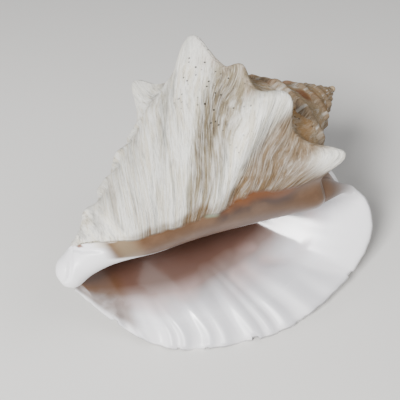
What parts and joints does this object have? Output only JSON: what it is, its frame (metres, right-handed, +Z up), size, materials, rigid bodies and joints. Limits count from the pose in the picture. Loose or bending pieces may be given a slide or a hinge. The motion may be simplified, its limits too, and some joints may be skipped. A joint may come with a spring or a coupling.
{
  "type": "queen conch shell",
  "caption": "Large spired sea shell with blunt shoulder spines, a thin broadly flared lip and a glossy open aperture, lying on its lip and a back spine.",
  "frame": {"origin": "centre of the shell's footprint box, on the surface that it lies on", "axes": "+Z up as it lies, +X towards the spire end and -X towards the canal end, -Y towards the open aperture"},
  "size_m": [0.2002, 0.1422, 0.1611],
  "materials": {
    "shell": "chalky outside, polished inside the aperture"
  },
  "bodies": {
    "root": {"queen_conch_shell": "shell"}
  },
  "joints": []
}
